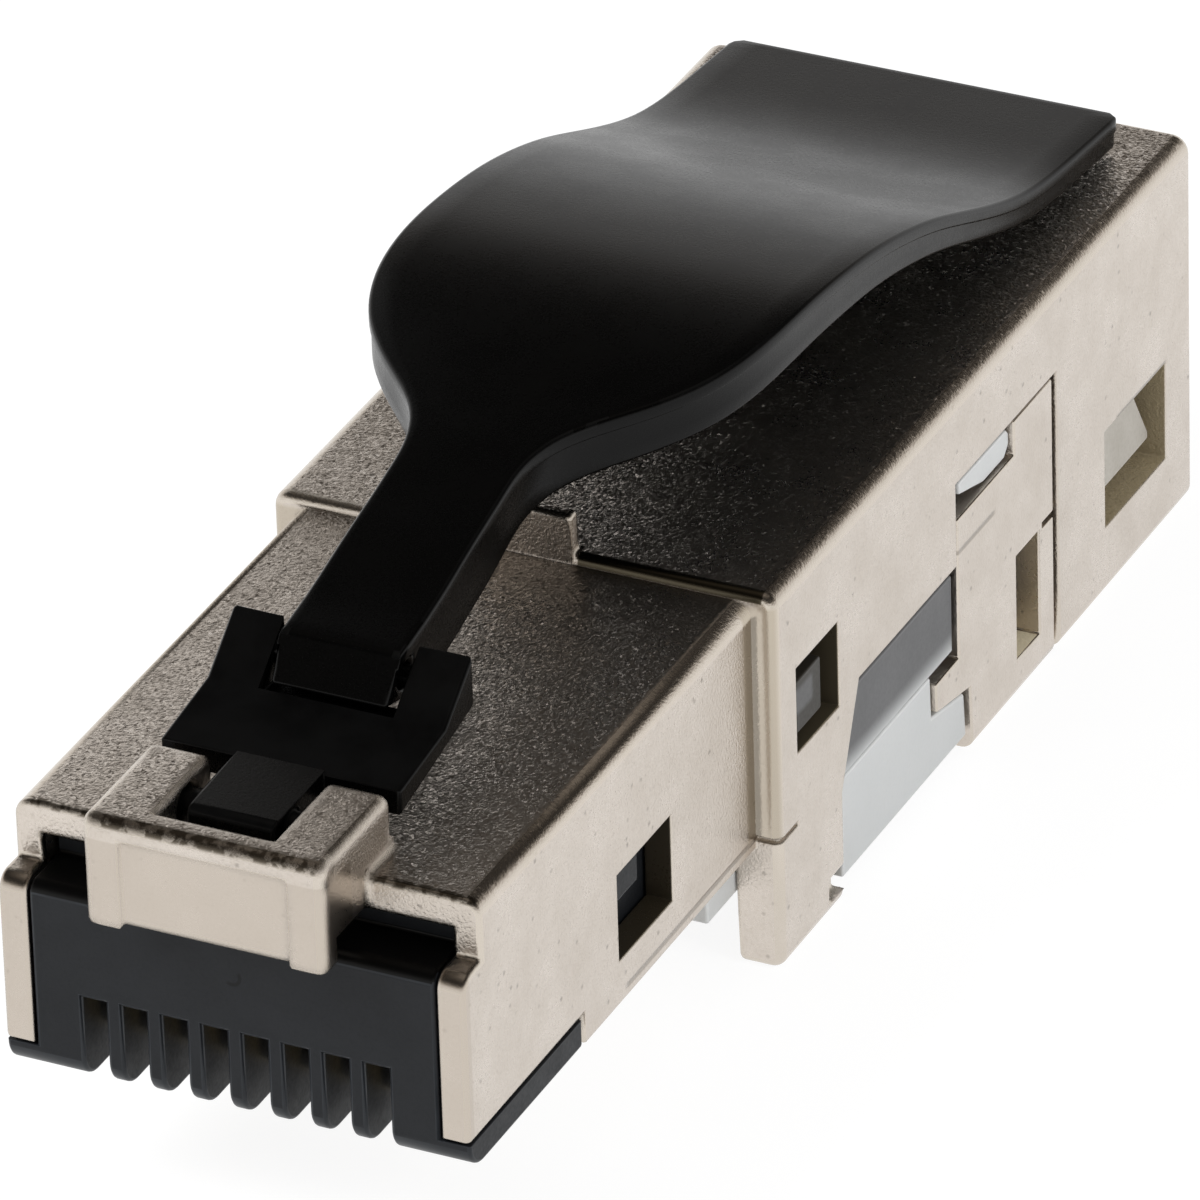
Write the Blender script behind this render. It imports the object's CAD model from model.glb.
import math

import bmesh
import bpy
import numpy as np
from mathutils import Matrix, Vector
from mathutils.bvhtree import BVHTree


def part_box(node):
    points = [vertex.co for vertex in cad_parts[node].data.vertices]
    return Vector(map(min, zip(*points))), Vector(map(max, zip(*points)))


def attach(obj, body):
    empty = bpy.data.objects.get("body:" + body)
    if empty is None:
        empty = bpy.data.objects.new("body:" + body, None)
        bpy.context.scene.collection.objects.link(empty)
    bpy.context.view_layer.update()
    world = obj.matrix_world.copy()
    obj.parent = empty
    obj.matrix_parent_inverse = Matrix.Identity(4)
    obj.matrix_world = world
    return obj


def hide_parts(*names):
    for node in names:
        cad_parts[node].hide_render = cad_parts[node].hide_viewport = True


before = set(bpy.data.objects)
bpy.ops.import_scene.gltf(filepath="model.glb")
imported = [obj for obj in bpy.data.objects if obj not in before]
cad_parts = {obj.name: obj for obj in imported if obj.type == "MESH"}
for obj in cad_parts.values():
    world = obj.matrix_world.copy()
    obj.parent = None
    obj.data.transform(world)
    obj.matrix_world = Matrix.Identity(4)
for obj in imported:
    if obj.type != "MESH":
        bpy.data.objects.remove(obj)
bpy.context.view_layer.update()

# Die-cast housing of the plug. One zinc casting carries the nose, the wide
# body and the bracket of the latch. It is tumbled, then plated with dull
# nickel, so its flats are grainy and its rounded edges run smooth.
MM = 0.001
NOSE_FRONT = 19.15            # from the origin to the front of the nose walls
UNDERSIDE = 3.25              # the nose lies this far above the resting plane
CAST_ROUND = 0.13
BRACKET_SOFT = 0.40
FRONT_SOFT = 0.22
WINDOW_ROUND = 0.03
CAST_TONE = (0.672, 0.610, 0.548)
CAST_SHADE = (0.525, 0.464, 0.398)
CAST_RUB = (0.630, 0.570, 0.495)
CAST_GRAIN = 0.075
CAST_BLOTCH = 1.7
WELD = 0.002                  # vertices closer than this are one
FLAT_TURN = 0.8               # faces that turn less than this, in degrees, are one
FLAT_NORMAL = 0.996           # from here on a face counts as level or upright
ROOM_SHARE = 0.42             # of a neighbouring edge, that a rounding may take
STRAIGHT = -0.94              # an edge that runs on this straight takes no room
STRAY_SHARE = 0.5             # of its radius, that a rounding may leave the surface
ATTEMPTS = 24


def place(x, y, z):
    """A point measured from the middle of the nose's front lower edge, in mm."""
    return Vector((x, y - NOSE_FRONT, z + UNDERSIDE)) * MM


def edge_room(edge, radius, sharp):
    """The rounding that the neighbours of an edge leave it."""
    room = radius
    for vert in edge.verts:
        along = (edge.other_vert(vert).co - vert.co).normalized()
        for other in vert.link_edges:
            if other is edge:
                continue
            step = other.other_vert(vert).co - vert.co
            turn = step.normalized().dot(along)
            if turn > STRAIGHT or other not in sharp:
                across = math.sqrt(max(0.0, 1.0 - turn * turn))
                room = min(room, ROOM_SHARE * step.length * across)
    return room


def evaluated(obj):
    """Settle an object's modifiers into its mesh."""
    graph = bpy.context.evaluated_depsgraph_get()
    mesh = bpy.data.meshes.new_from_object(obj.evaluated_get(graph), depsgraph=graph,
                                           preserve_all_data_layers=True)
    obj.modifiers.clear()
    obj.data = mesh


def mark_faces(mesh, flat=FLAT_NORMAL, recess=None):
    """'rub' is 1 on rounded edges and 0 on the flats, 'recess' is 1 inside openings."""
    rub = mesh.attributes.new("rub", "FLOAT", "FACE")
    deep = mesh.attributes.new("recess", "FLOAT", "FACE")
    for face in mesh.polygons:
        n = face.normal
        rub.data[face.index].value = 0.0 if max(abs(n.x), abs(n.y), abs(n.z)) > flat else 1.0
        deep.data[face.index].value = 1.0 if recess and recess(face.center, n) else 0.0


def strays(mesh, surface, wide):
    """Vertices that the rounding threw further from the surface than it may."""
    return [v.co.copy() for v in mesh.vertices
            if surface.find_nearest(v.co)[3] > STRAY_SHARE * wide(v.co) * MM]


def round_edges(obj, radius, turn=30.0, steps=3, wide=None):
    """Round every edge sharper than turn degrees, by as much as it has room for.

    Where a corner throws a vertex off the surface, its shortest edge stays sharp."""
    wide = wide or (lambda point: radius)
    bm = bmesh.new()
    bm.from_mesh(obj.data)
    surface = BVHTree.FromBMesh(bm)
    weight = bm.edges.layers.float.new("bevel_weight_edge")
    sharp = {e for e in bm.edges if e.is_manifold and e.calc_face_angle(0.0) > math.radians(turn)}
    for edge in sharp:
        centre = (edge.verts[0].co + edge.verts[1].co) / 2
        edge[weight] = edge_room(edge, wide(centre) * MM, sharp) / (radius * MM)
    for attempt in range(ATTEMPTS):
        bm.to_mesh(obj.data)
        plain = obj.data.copy()
        plain.shade_smooth()
        obj.data = plain
        bevel = obj.modifiers.new("rounding", "BEVEL")
        bevel.limit_method = "WEIGHT"
        bevel.width = radius * MM
        bevel.segments = steps
        bevel.use_clamp_overlap = False
        bevel.loop_slide = False
        flats = obj.modifiers.new("flats", "WEIGHTED_NORMAL")
        flats.weight = 80
        evaluated(obj)
        lost = strays(obj.data, surface, wide)
        if not lost:
            break
        for point in lost:
            rounded = {v for e in sharp if e[weight] > 0.0 for v in e.verts}
            if rounded:
                corner = min(rounded, key=lambda v: (v.co - point).length)
                shortest = min((e for e in corner.link_edges if e[weight] > 0.0),
                               key=lambda e: e.calc_length())
                shortest[weight] = 0.0
    bm.free()


def new_piece(name, mesh):
    obj = bpy.data.objects.new(name, mesh)
    bpy.context.scene.collection.objects.link(obj)
    return obj


def dressed(node, name, radius, reshape=None, turn=30.0, steps=3, wide=None, recess=None):
    """A welded copy of a solid, its flats joined and its edges rounded."""
    bm = bmesh.new()
    bm.from_mesh(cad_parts[node].data)
    bmesh.ops.remove_doubles(bm, verts=bm.verts, dist=WELD * MM)
    if reshape:
        reshape(bm)
    bmesh.ops.dissolve_limit(bm, angle_limit=math.radians(FLAT_TURN), verts=bm.verts,
                             edges=bm.edges)
    mesh = bpy.data.meshes.new(name)
    bm.to_mesh(mesh)
    bm.free()
    obj = new_piece(name, mesh)
    round_edges(obj, radius, turn, steps, wide)
    mark_faces(obj.data, recess=recess)
    return obj


def add(tree, kind, values=None, **settings):
    """A node with its inputs set or linked, by index or by name."""
    made = tree.nodes.new(kind)
    for key, value in settings.items():
        setattr(made, key, value)
    for key, value in (values or {}).items():
        if isinstance(value, bpy.types.NodeSocket):
            tree.links.new(value, made.inputs[key])
        else:
            made.inputs[key].default_value = value
    return made


def noise(tree, where, size, detail=2.0, rough=0.5):
    return add(tree, "ShaderNodeTexNoise", {"Vector": where, "Scale": 1.0 / (size * MM),
                                            "Detail": detail, "Roughness": rough}).outputs[0]


def remap(tree, value, a, b, c, d):
    return add(tree, "ShaderNodeMapRange", {0: value, 1: a, 2: b, 3: c, 4: d}).outputs[0]


def blend_tone(tree, share, first, second):
    first, second = [v if isinstance(v, bpy.types.NodeSocket) else (*v, 1.0)
                     for v in (first, second)]
    return add(tree, "ShaderNodeMix", {0: share, 6: first, 7: second}, data_type="RGBA").outputs[2]


def maths(tree, how, a, b=0.0):
    return add(tree, "ShaderNodeMath", {0: a, 1: b}, operation=how).outputs[0]


def between(tree, value, low, high, soft):
    """1 where the value lies between two limits, in mm, with soft edges."""
    up = remap(tree, value, (low - soft) * MM, low * MM, 0.0, 1.0)
    down = remap(tree, value, high * MM, (high + soft) * MM, 1.0, 0.0)
    return maths(tree, "MULTIPLY", up, down)


def fine_line(tree, axes, y0, y1, z0, z1, soft=0.05):
    """A hairline in the skin of the flanks, between these places along and up."""
    along = between(tree, axes[1], y0 - NOSE_FRONT, y1 - NOSE_FRONT, 4 * soft)
    up = between(tree, axes[2], z0 + UNDERSIDE, z1 + UNDERSIDE, soft)
    return maths(tree, "MULTIPLY", along, up)


def skin(name, tone, shade, rub_tone, rough, rub_rough, metal, grain, blotch, relief,
         pores=0.0, lines=(), tint=None, coat=0.0, gloss=0.5, recess_tone=None,
         stains=None, sparkle=0.0, soften=None):
    """A cast or moulded skin: cloudy colour, fine grain, pores and rubbed edges.

    Tones are linear, sizes and relief in mm. 'sparkle' tilts tiny facets on the
    faces that look up, 'soften' rounds the shading of edges by a radius."""
    material = bpy.data.materials.new(name)
    material.use_nodes = True
    tree = material.node_tree
    shader = tree.nodes["Principled BSDF"]
    where = add(tree, "ShaderNodeTexCoord").outputs["Object"]
    axes = add(tree, "ShaderNodeSeparateXYZ", {0: where}).outputs
    rub = add(tree, "ShaderNodeAttribute", attribute_name="rub").outputs["Fac"]
    deep = add(tree, "ShaderNodeAttribute", attribute_name="recess").outputs["Fac"]
    cloud = noise(tree, where, blotch, 4.0, 0.6)
    fine = noise(tree, where, grain, 2.0, 0.6)
    colour = blend_tone(tree, remap(tree, cloud, 0.35, 0.75, 0.0, 0.55), tone, shade)
    colour = blend_tone(tree, remap(tree, fine, 0.5, 0.8, 0.0, 0.5), colour, shade)
    if tint:
        colour = tint(tree, axes, colour)
    height = fine
    if pores:
        cell = add(tree, "ShaderNodeTexVoronoi",
                   {"Vector": where, "Scale": 1.0 / (5.5 * grain * MM)})
        spot = remap(tree, cell.outputs["Distance"], 0.06, 0.2, pores, 0.0)
        sparse = remap(tree, noise(tree, where, 0.8, 1.0), 0.52, 0.6, 0.0, 1.0)
        spot = maths(tree, "MULTIPLY", spot, sparse)
        colour = blend_tone(tree, spot, colour, [0.35 * c for c in shade])
        height = maths(tree, "SUBTRACT", height, spot)
    edge = maths(tree, "MULTIPLY", rub, remap(tree, cloud, 0.3, 0.6, 0.35, 1.0))
    colour = blend_tone(tree, edge, colour, rub_tone)
    for line in lines:
        mark = fine_line(tree, axes, *line)
        colour = blend_tone(tree, maths(tree, "MULTIPLY", mark, 0.5), colour,
                            [0.3 * c for c in shade])
        height = maths(tree, "SUBTRACT", height, mark)
    if recess_tone:
        colour = blend_tone(tree, deep, colour, recess_tone)
    smooth = remap(tree, rub, 0.0, 1.0, 1.0, 0.35)
    for mask, stain_tone in stains(tree, axes) if stains else ():
        colour = blend_tone(tree, mask, colour, stain_tone)
        smooth = maths(tree, "MULTIPLY", smooth, maths(tree, "SUBTRACT", 1.0, mask))
    bump = add(tree, "ShaderNodeBump", {"Height": height, "Distance": relief * MM,
                                        "Strength": smooth})
    bumps = bump.outputs[0]
    if soften:
        rounded = add(tree, "ShaderNodeBevel", {"Radius": soften(tree, axes)}, samples=6)
        tree.links.new(rounded.outputs[0], bump.inputs["Normal"])
    if sparkle:
        facing = add(tree, "ShaderNodeSeparateXYZ",
                     {0: add(tree, "ShaderNodeNewGeometry").outputs["Normal"]}).outputs[2]
        grit = add(tree, "ShaderNodeTexVoronoi",
                   {"Vector": where, "Scale": 1.0 / (1.1 * grain * MM)})
        tilt = add(tree, "ShaderNodeVectorMath", {0: grit.outputs["Color"], 1: (0.5, 0.5, 0.5)},
                   operation="SUBTRACT").outputs[0]
        some = noise(tree, where, 1.4 * grain)
        some = remap(tree, some, 0.48, 0.66, 0.2 * sparkle, sparkle)
        some = maths(tree, "MULTIPLY", some, smooth)
        some = maths(tree, "MULTIPLY", some, remap(tree, facing, 0.5, 0.9, 0.12, 1.0))
        tilt = add(tree, "ShaderNodeVectorMath", {0: tilt, "Scale": some},
                   operation="SCALE").outputs[0]
        bumps = add(tree, "ShaderNodeVectorMath", {0: bumps, 1: tilt}).outputs[0]
        bumps = add(tree, "ShaderNodeVectorMath", {0: bumps}, operation="NORMALIZE").outputs[0]
    varied = remap(tree, maths(tree, "ADD", cloud, fine), 0.7, 1.3, rough[0], rough[1])
    worn = add(tree, "ShaderNodeMix", {0: rub, 2: varied, 3: rub_rough}).outputs[0]
    tree.links.new(colour, shader.inputs["Base Color"])
    tree.links.new(worn, shader.inputs["Roughness"])
    tree.links.new(bumps, shader.inputs["Normal"])
    tree.links.new(remap(tree, deep, 0.0, 1.0, metal, 0.0), shader.inputs["Metallic"])
    shader.inputs["Coat Weight"].default_value = coat
    shader.inputs["Specular IOR Level"].default_value = gloss
    return material


RECESS_TONE = (0.400, 0.330, 0.210)
WINDOW_TONES = ((0.034, 0.027, 0.017), (0.060, 0.049, 0.031))
BURNISH = (0.090, 0.070, 0.045)
TARNISH = (0.440, 0.380, 0.290)
SHADOW_TONE = (0.030, 0.026, 0.020)
STEP_MARK_TONE = (0.100, 0.086, 0.060)
STEP_Y = 15.2                 # the wide body begins here
NOSE_SKIN, BODY_SKIN = 5.80, 6.42     # half widths just inside the flanks
WALL_INSIDE = 4.6
CRISP_FROM = (4.9, 6.0)       # beyond this half width, behind this place
CRISP_Z = (-1.6, 4.6)
NOSE_WINDOW = ((7.7, 10.9), (1.0, 3.5))      # along and up, with a margin
BODY_WINDOW = ((16.1, 18.8), (2.0, 4.5))
REAR_WINDOW = ((33.9, 37.9), (-1.5, 1.4))
BEAD_SIZE = 0.24
PLAIN_SOFT = 0.09


def casting_round(point):
    """The edges of the windows and side openings stay crisp."""
    x, y, z = point.x / MM, point.y / MM + NOSE_FRONT, point.z / MM - UNDERSIDE
    if abs(x) > CRISP_FROM[0] and y > CRISP_FROM[1] and CRISP_Z[0] < z < CRISP_Z[1]:
        return WINDOW_ROUND
    return CAST_ROUND


def zone(tree, axes, x=None, y=None, z=None, soft=0.05):
    """1 inside a box given in mm from the nose's front lower edge."""
    mask = 1.0
    for axis, limits, shift in ((0, x, 0.0), (1, y, -NOSE_FRONT), (2, z, UNDERSIDE)):
        if limits:
            inside = between(tree, axes[axis], limits[0] + shift, limits[1] + shift, soft)
            mask = maths(tree, "MULTIPLY", mask, inside)
    return mask


def casting_stains(tree, axes):
    """Tarnish in the step, burnished front edges, dark windows, polish under the latch."""
    where = add(tree, "ShaderNodeTexCoord").outputs["Object"]
    front = maths(tree, "MULTIPLY", zone(tree, axes, y=(-1.3, 0.25), z=(0.0, 7.4)), 0.7)
    step = zone(tree, axes, y=(14.85, 15.27), z=(0.35, 6.45), soft=0.12)
    step = maths(tree, "MULTIPLY", step, 0.6)
    mark = zone(tree, axes, x=(1.45, 6.1), y=(15.14, 15.44), z=(6.62, 6.84), soft=0.03)
    beads = maths(tree, "MAXIMUM",
                  zone(tree, axes, x=(-2.8, 2.8), y=(-1.12, -0.92), z=(7.8, 8.1), soft=0.06),
                  zone(tree, axes, y=(0.97, 1.15), z=(6.5, 6.75), soft=0.06))
    strewn = remap(tree, noise(tree, where, BEAD_SIZE), 0.44, 0.54, 0.15, 0.85)
    beads = maths(tree, "MULTIPLY", beads, strewn)
    polish = maths(tree, "MULTIPLY",
                   zone(tree, axes, x=(-1.7, 1.7), y=(4.8, 7.4), z=(6.50, 6.66), soft=0.8), 0.85)
    windows = [zone(tree, axes, x=(-side, side), y=window[0], z=window[1], soft=0.03)
               for side, window in ((5.79, NOSE_WINDOW), (6.41, BODY_WINDOW))]
    return [(front, CAST_SHADE), (step, TARNISH), (beads, BURNISH), *zip(windows, WINDOW_TONES),
            (mark, STEP_MARK_TONE), (polish, SHADOW_TONE)]


def casting_soften(tree, axes):
    """The bracket and the front of the nose are the most rounded by tumbling."""
    bracket = zone(tree, axes, x=(-3.2, 3.2), y=(-1.5, 2.6), z=(4.0, 8.3))
    front = zone(tree, axes, y=(-0.2, 1.0), z=(5.7, 6.8))
    wide = maths(tree, "MULTIPLY", front, (FRONT_SOFT - PLAIN_SOFT) * MM)
    wide = maths(tree, "ADD", wide, PLAIN_SOFT * MM)
    return add(tree, "ShaderNodeMix", {0: bracket, 2: wide, 3: BRACKET_SOFT * MM}).outputs[0]


def in_opening(point, normal):
    """The cut faces of the wall round each window, and what lies behind them."""
    x, y, z = point.x / MM, point.y / MM + NOSE_FRONT, point.z / MM - UNDERSIDE
    within = any(along[0] < y < along[1] and up[0] < z < up[1]
                 for along, up in (NOSE_WINDOW, BODY_WINDOW, REAR_WINDOW))
    return within and WALL_INSIDE < abs(x) < (NOSE_SKIN if y < STEP_Y else BODY_SKIN)


cast_skin = skin("dull_nickel_casting", CAST_TONE, CAST_SHADE, CAST_RUB, (0.26, 0.34), 0.24, 1.0,
                 CAST_GRAIN, CAST_BLOTCH, 0.022, pores=0.5, recess_tone=RECESS_TONE,
                 stains=casting_stains, sparkle=0.5, soften=casting_soften,
                 lines=[(8.3, 15.2, 0.22, 0.30), (34.9, 37.7, 1.30, 1.36)])
housing = dressed("main_shell", "housing", CAST_ROUND, wide=casting_round, recess=in_opening)
housing.data.materials.append(cast_skin)
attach(housing, "plug")
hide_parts("main_shell")

# Contact carrier. A dark slate moulding pushed into the nose, with one slot
# for each contact between rounded ribs, and a lug in the window each side.
CARRIER_ROUND = 0.09
MARK_PLACE = (0.0, 3.77)
MARK_RADIUS = 0.2
MARK_LINE = 0.03
MARK_TONE = (0.0035, 0.0035, 0.0040)
GAP_Z = 4.4                   # the brow lies above this height


def in_gap(point, normal):
    """The upper faces that lie in the dark gap behind the curtain."""
    return normal.z > 0.25 and point.z / MM - UNDERSIDE > GAP_Z


def moulding_mark(tree, axes):
    """A small crescent left by the ejector pin on the front face."""
    off = [maths(tree, "SUBTRACT", axes[0], MARK_PLACE[0] * MM),
           maths(tree, "SUBTRACT", axes[2], (MARK_PLACE[1] + UNDERSIDE) * MM)]
    square = [maths(tree, "MULTIPLY", v, v) for v in off]
    reach = maths(tree, "SQRT", maths(tree, "ADD", *square))
    ring = between(tree, reach, MARK_RADIUS - MARK_LINE, MARK_RADIUS + MARK_LINE, MARK_LINE)
    lower = remap(tree, maths(tree, "SUBTRACT", off[0], off[1]), 0.0, 0.1 * MM, 0.0, 0.8)
    return [(maths(tree, "MULTIPLY", ring, lower), MARK_TONE)]


slate_skin = skin("slate_moulding", (0.0120, 0.0134, 0.0158), (0.0095, 0.0105, 0.0122),
                  (0.024, 0.027, 0.031), (0.42, 0.56), 0.34, 0.0, 0.10, 1.3, 0.003, gloss=0.2,
                  recess_tone=(0.001, 0.001, 0.001), stains=moulding_mark)
carrier = dressed("contact_carrier", "contact_carrier_moulding", CARRIER_ROUND, recess=in_gap)
carrier.data.materials.append(slate_skin)
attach(carrier, "plug")
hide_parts("contact_carrier")

# Mating contacts. Eight stamped blades of bronze under gold, one in each
# slot, set at the standard pitch and soldered under the board.
GOLD_TONE = (0.72, 0.50, 0.16)
POSITIONS = 8


def middle(node):
    low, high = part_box(node)
    return (low + high) / 2


def repeated(obj, material, count, spacing, stagger):
    """Repeat a mesh along X, every second copy set back, as one plain mesh."""
    tree = bpy.data.node_groups.new(obj.name + "_row", "GeometryNodeTree")
    face = tree.interface
    face.new_socket("Piece", in_out="INPUT", socket_type="NodeSocketGeometry")
    face.new_socket("Count", in_out="INPUT", socket_type="NodeSocketInt")
    face.new_socket("Spacing", in_out="INPUT", socket_type="NodeSocketFloat")
    face.new_socket("Stagger", in_out="INPUT", socket_type="NodeSocketFloat")
    face.new_socket("Row", in_out="OUTPUT", socket_type="NodeSocketGeometry")
    ins = add(tree, "NodeGroupInput").outputs
    step = add(tree, "ShaderNodeCombineXYZ", {0: ins["Spacing"]}).outputs[0]
    line = add(tree, "GeometryNodeMeshLine", {"Count": ins["Count"], "Offset": step})
    odd = add(tree, "ShaderNodeMath", {0: add(tree, "GeometryNodeInputIndex").outputs[0], 1: 2.0},
              operation="MODULO").outputs[0]
    back = maths(tree, "MULTIPLY", odd, ins["Stagger"])
    shift = add(tree, "ShaderNodeCombineXYZ", {1: back}).outputs[0]
    spots = add(tree, "GeometryNodeSetPosition", {"Geometry": line.outputs[0], "Offset": shift})
    copies = add(tree, "GeometryNodeInstanceOnPoints", {"Points": spots.outputs[0],
                                                        "Instance": ins["Piece"]})
    real = add(tree, "GeometryNodeRealizeInstances", {0: copies.outputs[0]})
    dressed_row = add(tree, "GeometryNodeSetMaterial", {"Geometry": real.outputs[0],
                                                        "Material": material})
    add(tree, "NodeGroupOutput", {0: dressed_row.outputs[0]})
    row = obj.modifiers.new("row", "NODES")
    row.node_group = tree
    for item in face.items_tree:
        if item.in_out == "INPUT" and item.name == "Count":
            row[item.identifier] = count
        elif item.in_out == "INPUT" and item.name == "Spacing":
            row[item.identifier] = spacing
        elif item.in_out == "INPUT" and item.name == "Stagger":
            row[item.identifier] = stagger
    evaluated(obj)


gold_skin = skin("gold_over_bronze", GOLD_TONE, (0.55, 0.36, 0.10), (0.85, 0.66, 0.30),
                 (0.18, 0.30), 0.15, 1.0, 0.08, 0.9, 0.002)
contacts = dressed("contact_1", "mating_contacts", 0.08)
pitch = (middle("contact_8") - middle("contact_1")).x / (POSITIONS - 1)
repeated(contacts, gold_skin, POSITIONS, pitch, 0.0)
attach(contacts, "plug")
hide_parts(*["contact_%d" % n for n in range(1, POSITIONS + 1)])

# Circuit board. Glass-fibre board under green lacquer, with a tinned ring
# round each of the eight holes, on both faces.
BOARD_ROUND = 0.04
RING_INNER = 0.45
RING_OUTER = 0.72
RING_PROUD = 0.02
RING_STEPS = 28
board_skin = skin("green_lacquer_board", (0.020, 0.110, 0.045), (0.014, 0.080, 0.035),
                  (0.20, 0.17, 0.09), (0.22, 0.34), 0.55, 0.0, 0.20, 2.4, 0.004, coat=0.3)
board = dressed("circuit_board", "circuit_board_plate", BOARD_ROUND)
board.data.materials.append(board_skin)
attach(board, "plug")
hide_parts("circuit_board")

tin_skin = skin("dull_tin", (0.62, 0.61, 0.58), (0.48, 0.47, 0.45), (0.74, 0.73, 0.70),
                (0.30, 0.42), 0.25, 1.0, 0.09, 0.7, 0.004)
board_low, board_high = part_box("circuit_board")
first = middle("idc_1")
blade_spacing = (middle("idc_8") - middle("idc_1")).x / (POSITIONS - 1)
blade_stagger = (middle("idc_2") - middle("idc_1")).y
bm = bmesh.new()
for face_z, way in ((board_high.z, 1), (board_low.z, -1)):
    loops = []
    for ring in (RING_INNER, RING_OUTER):
        for lift in (0.0, RING_PROUD):
            level = face_z + way * lift * MM
            turns = [math.tau * k / RING_STEPS for k in range(RING_STEPS)]
            loops.append([bm.verts.new((first.x + ring * MM * math.cos(a),
                                        first.y + ring * MM * math.sin(a), level))
                          for a in turns])
    inner_low, inner_high, outer_low, outer_high = loops
    for a, b in ((inner_high, outer_high), (outer_high, outer_low), (outer_low, inner_low),
                 (inner_low, inner_high)):
        for k in range(RING_STEPS):
            n = (k + 1) % RING_STEPS
            bm.faces.new((a[k], b[k], b[n], a[n]))
bmesh.ops.recalc_face_normals(bm, faces=bm.faces)
ring_mesh = bpy.data.meshes.new("solder_rings")
bm.to_mesh(ring_mesh)
bm.free()
rings = new_piece("solder_rings", ring_mesh)
repeated(rings, tin_skin, POSITIONS, blade_spacing, blade_stagger)
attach(rings, "plug")

# Blade block. A grey moulding that holds the blades under the board. Its
# flanks fill the upper part of the opening in each side of the housing.
GREY_TONE = (0.130, 0.131, 0.135)
SEAM_REACH = 0.09             # its lower edge meets the wire manager
LUG_LIGHT = 0.75
PALE_TONE = (0.690, 0.705, 0.705)
FADE_FROM = -0.05
FADE_TO = 0.6
FADE_POWER = 1.6


def fade_to_pale(tree, axes, colour):
    """The thin lower edge of the grey moulding lets the pale part shine through."""
    low, high = (UNDERSIDE + FADE_FROM) * MM, (UNDERSIDE + FADE_TO) * MM
    share = remap(tree, axes[2], low, high, 1.0, 0.0)
    return blend_tone(tree, maths(tree, "POWER", share, FADE_POWER), colour, PALE_TONE)


def window_shade(tree, axes):
    """Behind the window only the lug catches light, the rest lies in shade."""
    dark = zone(tree, axes, y=(15.5, 19.3), z=(1.8, 4.2))
    lug = zone(tree, axes, y=(16.35, 17.25), z=(3.1, 3.6), soft=0.15)
    shade = maths(tree, "SUBTRACT", 1.0, maths(tree, "MULTIPLY", lug, LUG_LIGHT))
    return [(maths(tree, "MULTIPLY", dark, shade), SHADOW_TONE)]


def reach_down(bm):
    low = min(v.co.z for v in bm.verts)
    for vert in bm.verts:
        if vert.co.z < low + 0.01 * MM:
            vert.co.z -= SEAM_REACH * MM


grey_skin = skin("grey_moulding", GREY_TONE, (0.118, 0.120, 0.123), (0.16, 0.16, 0.165),
                 (0.50, 0.62), 0.42, 0.0, 0.10, 1.6, 0.002, tint=fade_to_pale,
                 stains=window_shade)
block = dressed("idc_block", "blade_block", 0.06, reach_down)
block.data.materials.append(grey_skin)
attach(block, "plug")
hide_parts("idc_block")

# Wire blades. Eight forked plates of tinned bronze in two rows. Each bites
# through the insulation of one wire, and its pin is soldered to the board.
blades = dressed("idc_1", "wire_blades", 0.05)
repeated(blades, tin_skin, POSITIONS, blade_spacing, blade_stagger)
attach(blades, "plug")
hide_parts(*["idc_%d" % n for n in range(1, POSITIONS + 1)])

# Wire manager. A pale moulding that carries the eight wires up to the
# blades. It shows in the openings and in the notch of each cover cheek.
pale_skin = skin("pale_moulding", PALE_TONE, (0.645, 0.660, 0.660), (0.76, 0.77, 0.77),
                 (0.40, 0.52), 0.30, 0.0, 0.11, 2.0, 0.002)
manager = dressed("wire_manager", "wire_manager_moulding", 0.07)
manager.data.materials.append(pale_skin)
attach(manager, "plug")
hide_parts("wire_manager")

# Cable clamp. A folded sheet of spring steel that grips the cable's screen.
# Its two pads spring into the windows at the rear.
clamp_skin = skin("spring_sheet", (0.51, 0.480, 0.43), (0.41, 0.380, 0.33), (0.60, 0.57, 0.53),
                  (0.34, 0.46), 0.26, 1.0, 0.10, 1.2, 0.006)
clamp = dressed("cable_clamp", "cable_clamp_spring", 0.06)
clamp.data.materials.append(clamp_skin)
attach(clamp, "plug")
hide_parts("cable_clamp")

# Lower cover. A second casting of the same metal. It closes the belly, and
# its cheeks fill the sides behind the openings, where each hooks forwards.
SLOT_TONE = (0.800, 0.710, 0.520)
CHEEK_SLOT = ((27.4, 29.6), (-2.8, 1.7))


def in_slot(point, normal):
    """The cut faces of the slot in each cheek."""
    x, y, z = point.x / MM, point.y / MM + NOSE_FRONT, point.z / MM - UNDERSIDE
    within = all(low < v < high for v, (low, high) in zip((y, z), CHEEK_SLOT))
    return within and WALL_INSIDE < abs(x) < BODY_SKIN


cover_skin = skin("dull_nickel_cover", CAST_TONE, CAST_SHADE, CAST_RUB, (0.26, 0.34), 0.24, 1.0,
                  CAST_GRAIN, CAST_BLOTCH, 0.016, pores=0.5, recess_tone=SLOT_TONE, sparkle=0.15,
                  lines=[(25.3, 27.4, 2.55, 2.62)])
cover = dressed("lower_cover", "belly_cover", 0.06, recess=in_slot)
cover.data.materials.append(cover_skin)
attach(cover, "plug")
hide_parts("lower_cover")

# Latch. A black moulding with a hooked nose between the arms of the bracket
# and two wings that catch the socket. It pivots on stubs in the bracket.
black_skin = skin("black_moulding", (0.0008, 0.0008, 0.0008), (0.0006, 0.0006, 0.0006),
                  (0.003, 0.003, 0.003), (0.24, 0.32), 0.22, 0.0, 0.09, 1.1, 0.0025, gloss=0.13)
latch = dressed("latch_tab", "latch_wings", 0.10)
latch.data.materials.append(black_skin)
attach(latch, "latch")
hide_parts("latch_tab")

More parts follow.
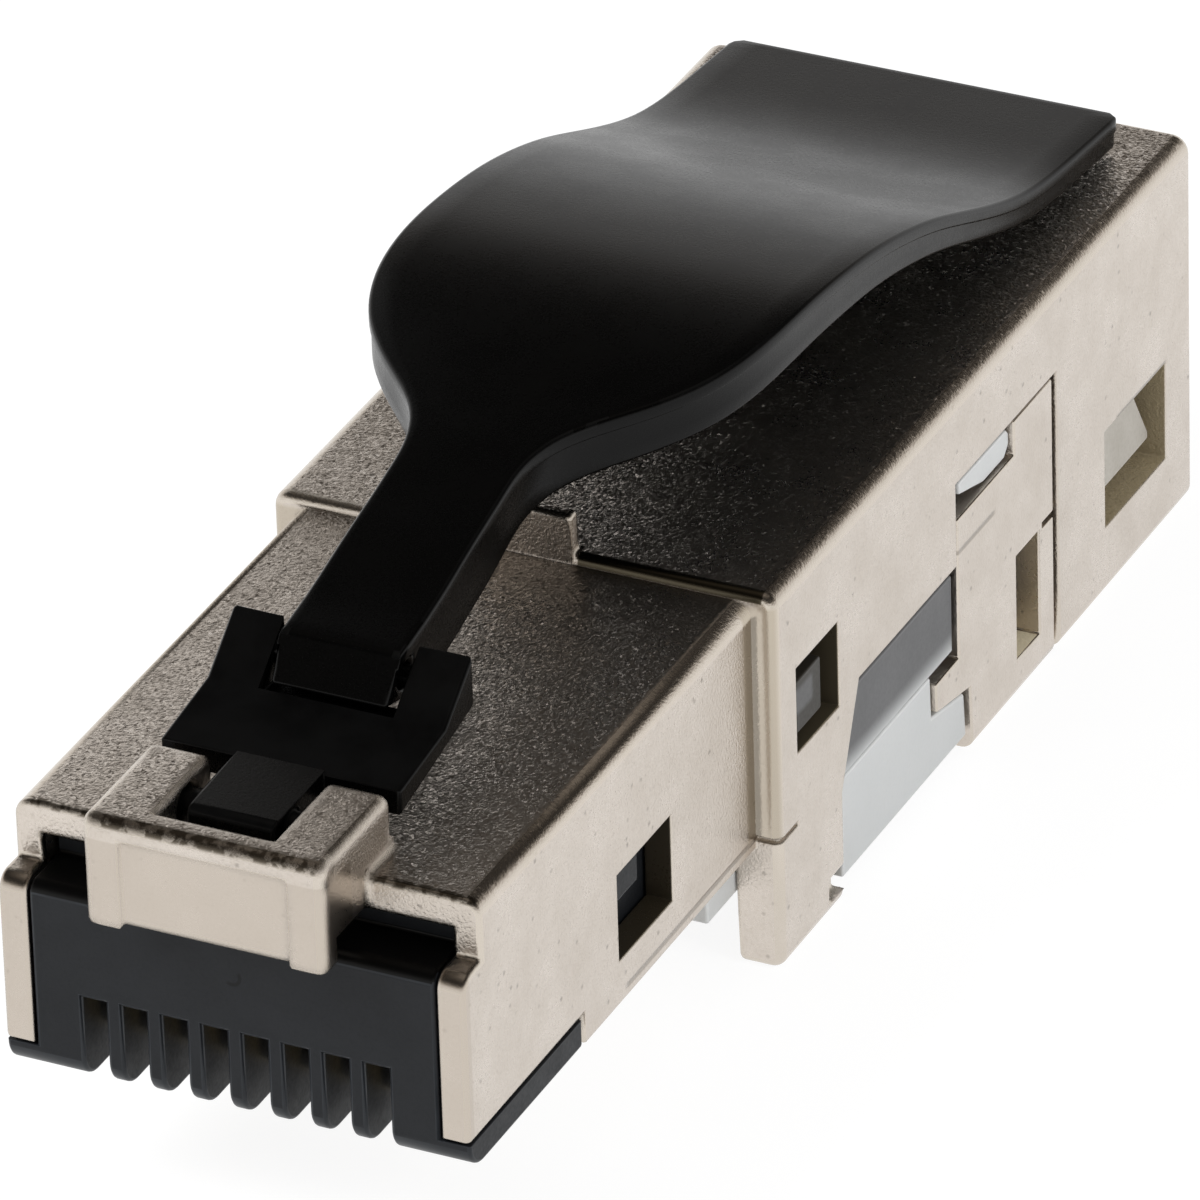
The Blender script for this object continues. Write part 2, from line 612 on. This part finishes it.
# Release lever. A long black blade, waved and flared so that a finger finds
# it over the cable end. A thin proud rim runs round its upper edge.
LEVER_TOP = [(7.2, 9.45), (8.2, 9.68), (9.5, 10.02), (11.0, 10.38), (12.5, 10.76), (14.0, 11.06),
             (16.0, 11.42), (17.5, 11.64), (19.0, 11.76), (20.5, 11.75), (22.0, 11.62),
             (24.0, 11.32), (26.0, 10.83), (27.5, 10.34), (29.0, 9.75), (31.0, 8.97), (32.5, 8.5),
             (34.0, 8.21), (36.0, 7.99), (38.15, 7.79)]
LEVER_DEPTH = [1.7, 1.74, 1.76, 1.7, 1.52, 1.38, 1.3, 1.3, 1.27, 1.22, 1.17, 1.1, 1.04, 0.99,
               0.94, 0.89, 0.86, 0.84, 0.82, 0.8]
LEVER_SIDE = [(7.9, 1.52), (8.4, 1.52), (10.0, 1.5), (11.5, 1.49), (12.4, 1.53), (13.0, 1.68),
              (13.6, 1.97), (14.2, 2.45), (15.0, 3.25), (16.0, 4.1), (17.2, 4.7), (18.6, 5.02),
              (20.5, 5.16), (23.0, 5.2), (30.0, 5.2), (38.15, 5.2)]
BLOCK_HALF = 1.52
FRONT_TOP = (6.0, 9.24)
FRONT_FOOT = (5.25, 8.2)
FRONT_STATIONS = (((6.4, 9.31), (5.9, 8.05)), ((6.8, 9.38), (6.5, 7.91)))
BLOCK_END = 8.4               # behind this the half width follows its curve
END_HALF = 0.12               # kept of the half width at the rounded rear end
REAR_CORNER = 0.45
STATION = 0.22
RIM_HIGH = 0.34
RIM_PROUD = 0.05
LEVER_ROUND = 0.11
KNUCKLE = (6.22, 8.58)
KNUCKLE_HOLE = 0.33
HOLE_DEPTH = 0.32


def curve_through(points):
    """A natural cubic spline through (y, value) points."""
    x, v = np.array(points, float).T
    n = len(x)
    h = np.diff(x)
    a, r = np.zeros((n, n)), np.zeros(n)
    a[0, 0] = a[-1, -1] = 1.0
    for i in range(1, n - 1):
        a[i, i - 1:i + 2] = h[i - 1], 2 * (h[i - 1] + h[i]), h[i]
        r[i] = 6 * ((v[i + 1] - v[i]) / h[i] - (v[i] - v[i - 1]) / h[i - 1])
    m = np.linalg.solve(a, r)

    def value(q):
        i = int(np.clip(np.searchsorted(x, q) - 1, 0, n - 2))
        t, u = q - x[i], x[i + 1] - q
        bend = (m[i] * u ** 3 + m[i + 1] * t ** 3) / (6 * h[i])
        return (bend + (v[i] / h[i] - m[i] * h[i] / 6) * u
                + (v[i + 1] / h[i] - m[i + 1] * h[i] / 6) * t)

    return value


top_at = curve_through(LEVER_TOP)
under_at = curve_through([(y, z - d) for (y, z), d in zip(LEVER_TOP, LEVER_DEPTH)])
side_at = curve_through(LEVER_SIDE)
lever_start, lever_end = LEVER_TOP[0][0], LEVER_TOP[-1][0]
stations = [(high, low, BLOCK_HALF) for high, low in ((FRONT_TOP, FRONT_FOOT), *FRONT_STATIONS)]
count = int((lever_end - lever_start) / STATION)
for k in range(count + 1):
    y = lever_start + (lever_end - lever_start) * k / count
    half = BLOCK_HALF if y < BLOCK_END else side_at(y)
    past = max(0.0, y - (lever_end - REAR_CORNER))
    half -= REAR_CORNER - math.sqrt(max(0.0, REAR_CORNER ** 2 - past ** 2))
    stations.append(((y, top_at(y)), (y, under_at(y)), half))
stations[-1] = (stations[-1][0], stations[-1][1], stations[-1][2] + END_HALF)

bm = bmesh.new()
rows = []
for (ty, tz), (by, bz), half in stations:
    deep = tz - bz
    profile = [(share * half, 0.0) for share in (0.0, 0.3, 0.6, 0.85)]
    profile += [(half, 0.0), (half, RIM_HIGH), (half - RIM_PROUD, RIM_HIGH + 0.02),
                (half - RIM_PROUD, 0.6 * deep + 0.1), (half - RIM_PROUD, deep)]
    profile += [(share * half, deep) for share in (0.6, 0.3, 0.0)]
    ring = []
    for sign, part in ((1, profile), (-1, profile[-2:0:-1])):
        for x, down in part:
            share = down / deep
            ring.append(bm.verts.new(place(sign * x, ty + (by - ty) * share,
                                           tz + (bz - tz) * share)))
    rows.append(ring)
for a, b in zip(rows, rows[1:]):
    for k in range(len(a)):
        n = (k + 1) % len(a)
        bm.faces.new((a[k], a[n], b[n], b[k]))
bm.faces.new(rows[0])
bm.faces.new(rows[-1])
bmesh.ops.recalc_face_normals(bm, faces=bm.faces)
lever_mesh = bpy.data.meshes.new("release_lever")
bm.to_mesh(lever_mesh)
bm.free()
lever = new_piece("release_lever", lever_mesh)
for sign in (-1, 1):
    bm = bmesh.new()
    bmesh.ops.create_cone(bm, cap_ends=True, segments=32, radius1=KNUCKLE_HOLE * MM,
                          radius2=KNUCKLE_HOLE * MM, depth=2 * HOLE_DEPTH * MM,
                          matrix=Matrix.Translation(place(sign * BLOCK_HALF, *KNUCKLE))
                          @ Matrix.Rotation(math.pi / 2, 4, "Y"))
    drill_mesh = bpy.data.meshes.new("drill")
    bm.to_mesh(drill_mesh)
    bm.free()
    drill = new_piece("drill", drill_mesh)
    hole = lever.modifiers.new("knuckle_hole", "BOOLEAN")
    hole.operation = "DIFFERENCE"
    hole.solver = "EXACT"
    hole.object = drill
    evaluated(lever)
    bpy.data.objects.remove(drill)
round_edges(lever, LEVER_ROUND, turn=28.0)
mark_faces(lever.data, flat=0.0)
for face in lever.data.polygons:
    slim = face.area < (0.05 * MM) * (STATION * MM) * 1.6
    lever.data.attributes["rub"].data[face.index].value = 1.0 if slim else 0.0
lever_skin = skin("black_lever_moulding", (0.0008, 0.0008, 0.0008), (0.0006, 0.0006, 0.0006),
                  (0.003, 0.003, 0.003), (0.24, 0.32), 0.22, 0.0, 0.08, 1.5, 0.0022, gloss=0.17)
lever.data.materials.append(lever_skin)
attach(lever, "lever")
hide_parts("release_paddle")

# Studio. A white sweep under the plug, bright walls under a dim ceiling, two
# soft boxes, a panel that only the gloss sees, and a long lens from the front.
CAMERA_RIGHT = (0.9030049, 0.4288081, -0.0265656)
CAMERA_UP = (-0.1964782, 0.4671602, 0.8620659)
CAMERA_BACK = (0.3820712, -0.7732302, 0.5060994)
CAMERA_PLACE = (119.13695, -241.02259, 164.22136)
CAMERA_LENS = 397.8077
FLOOR_HALF = 2000.0
FLOOR_DROP = 0.01
FLOOR_GLOW = 1.09
GLOW_SHARE = 0.82
SOFT_LIGHT = 0.55
DIM_WARMTH = 0.15             # the dimmer the wall, the warmer
WALL_LEVELS = [(0.0, 1.0), (0.2, 0.95), (0.34, 0.6), (0.45, 0.13), (0.6, 0.022), (0.8, 0.02),
               (0.93, 0.10), (1.0, 0.25)]
WHITE = (1.0, 1.0, 1.0, 1.0)

bm = bmesh.new()
corners = [bm.verts.new(Vector((x * FLOOR_HALF, y * FLOOR_HALF, -FLOOR_DROP)) * MM)
           for x, y in ((-1, -1), (1, -1), (1, 1), (-1, 1))]
bm.faces.new(corners)
floor_mesh = bpy.data.meshes.new("floor")
bm.to_mesh(floor_mesh)
bm.free()
floor = new_piece("floor", floor_mesh)
paper = bpy.data.materials.new("white_sweep")
paper.use_nodes = True
tree = paper.node_tree
tree.nodes.clear()
seen = add(tree, "ShaderNodeLightPath").outputs
where = add(tree, "ShaderNodeTexCoord").outputs["Object"]
dust = remap(tree, noise(tree, where, 6.0), 0.3, 0.7, 0.93, 0.96)
dusty = add(tree, "ShaderNodeCombineColor", {0: dust, 1: dust, 2: dust}).outputs[0]
paint = add(tree, "ShaderNodeBsdfDiffuse", {"Color": dusty})
glow = add(tree, "ShaderNodeEmission", {"Color": WHITE, "Strength": FLOOR_GLOW})
share = maths(tree, "MAXIMUM", seen["Is Camera Ray"], seen["Is Glossy Ray"])
share = maths(tree, "MULTIPLY", share, GLOW_SHARE)
both = add(tree, "ShaderNodeMixShader", {0: share, 1: paint.outputs[0], 2: glow.outputs[0]})
add(tree, "ShaderNodeOutputMaterial", {0: both.outputs[0]})
floor.data.materials.append(paper)

world = bpy.data.worlds.new("studio")
bpy.context.scene.world = world
world.use_nodes = True
tree = world.node_tree
tree.nodes.clear()
seen = add(tree, "ShaderNodeLightPath").outputs
heading = add(tree, "ShaderNodeTexCoord").outputs["Generated"]
up = add(tree, "ShaderNodeSeparateXYZ", {0: heading}).outputs[2]
ramp = add(tree, "ShaderNodeValToRGB", {0: up})
points = ramp.color_ramp.elements
for spot, level in WALL_LEVELS:
    point = points[0] if spot == 0.0 else points[-1] if spot == 1.0 else points.new(spot)
    dim = DIM_WARMTH * (1.0 - level)
    point.color = (level, level * (1.0 - dim), level * (1.0 - 2.0 * dim), 1.0)
wall = add(tree, "ShaderNodeBackground", {"Color": ramp.outputs[0], "Strength": 1.0})
soft = add(tree, "ShaderNodeBackground", {"Color": WHITE, "Strength": SOFT_LIGHT})
white = add(tree, "ShaderNodeBackground", {"Color": WHITE, "Strength": 1.0})
lit = add(tree, "ShaderNodeMixShader", {0: seen["Is Glossy Ray"], 1: soft.outputs[0],
                                        2: wall.outputs[0]})
shown = add(tree, "ShaderNodeMixShader", {0: seen["Is Camera Ray"], 1: lit.outputs[0],
                                          2: white.outputs[0]})
add(tree, "ShaderNodeOutputWorld", {0: shown.outputs[0]})

for name, spot, size, power, aim, mirrored in (
        ("soft_box_left", (-260, -210, 330), (190, 190), 1.5, (0, 0, 0), False),
        ("soft_box_right", (360, -60, 260), (160, 160), 0.5, (0, 0, 0), False),
        ("side_panel", (-23.1, 5.15, 25.25), (21, 16), 0.00042, (-3, -16.15, 9.85), True)):
    lamp = bpy.data.lights.new(name, "AREA")
    lamp.shape = "RECTANGLE"
    lamp.size, lamp.size_y = [side * MM for side in size]
    lamp.energy = power
    holder = bpy.data.objects.new(name, lamp)
    holder.location = Vector(spot) * MM
    holder.rotation_euler = (Vector(aim) - Vector(spot)).to_track_quat("-Z", "Y").to_euler()
    holder.visible_glossy = mirrored
    holder.visible_diffuse = not mirrored
    bpy.context.scene.collection.objects.link(holder)

lens = bpy.data.cameras.new("camera")
lens.lens = CAMERA_LENS
lens.sensor_width = 36.0
lens.sensor_fit = "HORIZONTAL"
lens.clip_start = 0.01
lens.clip_end = 20.0
camera = bpy.data.objects.new("camera", lens)
columns = [Vector(v) for v in (CAMERA_RIGHT, CAMERA_UP, CAMERA_BACK)]
spot = Vector(CAMERA_PLACE) * MM
camera.matrix_world = Matrix([[c[i] for c in columns] + [spot[i]] for i in range(3)]
                             + [[0.0, 0.0, 0.0, 1.0]])
bpy.context.scene.collection.objects.link(camera)
bpy.context.scene.camera = camera
bpy.context.scene.view_settings.view_transform = "Standard"
